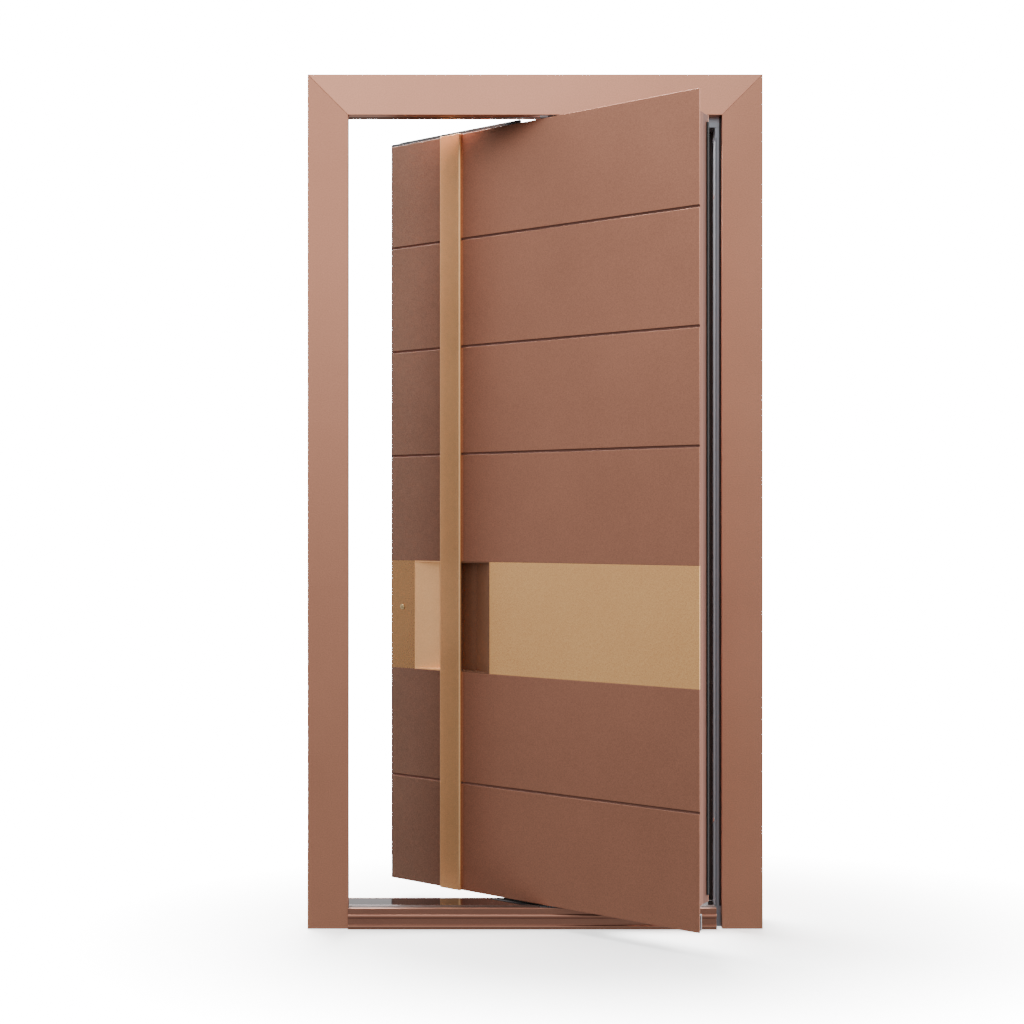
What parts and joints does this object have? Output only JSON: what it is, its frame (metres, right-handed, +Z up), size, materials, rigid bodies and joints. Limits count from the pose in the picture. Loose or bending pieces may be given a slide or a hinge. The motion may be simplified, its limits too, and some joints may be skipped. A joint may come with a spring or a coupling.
{
  "type": "aluminium pivot door",
  "caption": "Clad aluminium entrance door turning on an offset vertical pivot in its frame, with a flat pull bar over a hand recess and a stepped threshold.",
  "frame": {"origin": "middle of the frame's width, at its outer face, on the floor face under the threshold", "axes": "+Z up, +X to the right seen from outside, +Y into the building"},
  "size_m": [1.3, 0.6754, 2.44],
  "materials": {
    "frame_bronze": "satin bronze paint, fine grain",
    "profile_bronze": "satin bronze paint",
    "silver": "satin, natural anodised",
    "seal": "matt black",
    "threshold_bronze": "satin bronze",
    "threshold_dark": "dark brown, ribbed",
    "threshold_gloss": "polished dark bronze",
    "pivot_steel": "brushed",
    "leaf_bronze": "satin bronze paint, fine grain",
    "gold": "satin champagne gold",
    "bar_gold": "satin champagne gold",
    "lock": "satin",
    "core": "rigid foam",
    "anthracite": "satin anthracite"
  },
  "bodies": {
    "frame": {"left_casing": "frame_bronze", "right_casing": "frame_bronze", "head_casing": "frame_bronze", "left_jamb": "profile_bronze", "right_jamb": "profile_bronze", "head_jamb": "profile_bronze", "right_stop": "silver", "head_stop": "silver", "left_inner_trim": "profile_bronze", "right_inner_trim": "profile_bronze", "head_inner_trim": "profile_bronze", "left_seal": "seal", "right_seal": "seal", "head_seal": "seal", "strike_plate": "silver", "threshold_base": "threshold_dark", "threshold_nose": "threshold_bronze", "threshold_front_strip": "threshold_dark", "threshold_top_plate": "threshold_gloss", "threshold_rear_edge": "threshold_bronze", "floor_bearing": "pivot_steel", "head_bearing": "pivot_steel"},
    "leaf": {"upper_cladding": "leaf_bronze", "lower_cladding": "leaf_bronze", "gold_sheet_handle_side": "gold", "gold_sheet_pivot_side": "gold", "grip_recess": "gold", "pull_bar": "bar_gold", "lock_cylinder": "lock", "lock_faceplate": "silver", "upper_backing": "seal", "lower_backing": "seal", "middle_backing": "seal", "lock_backing": "seal", "handle_stile": "profile_bronze", "pivot_stile": "profile_bronze", "top_rail_handle_side": "profile_bronze", "top_rail_pivot_side": "profile_bronze", "low_rail": "profile_bronze", "upper_core": "core", "lower_core": "core", "middle_core": "core", "recess_core": "core", "side_lip": "anthracite", "head_lip": "anthracite", "bottom_rail": "silver", "drop_seal": "seal", "inner_cladding": "leaf_bronze", "bottom_pivot": "pivot_steel", "top_pivot": "pivot_steel", "inside_handle": "bar_gold", "inside_handle_posts": "silver"}
  },
  "joints": [
    {"name": "leaf_pivot", "type": "hinge", "parent": "frame", "child": "leaf", "pos_m": [0.044, 0.016, 1.2], "axis": [0, 0, -1], "range_deg": [-34.5, 55.5]}
  ]
}
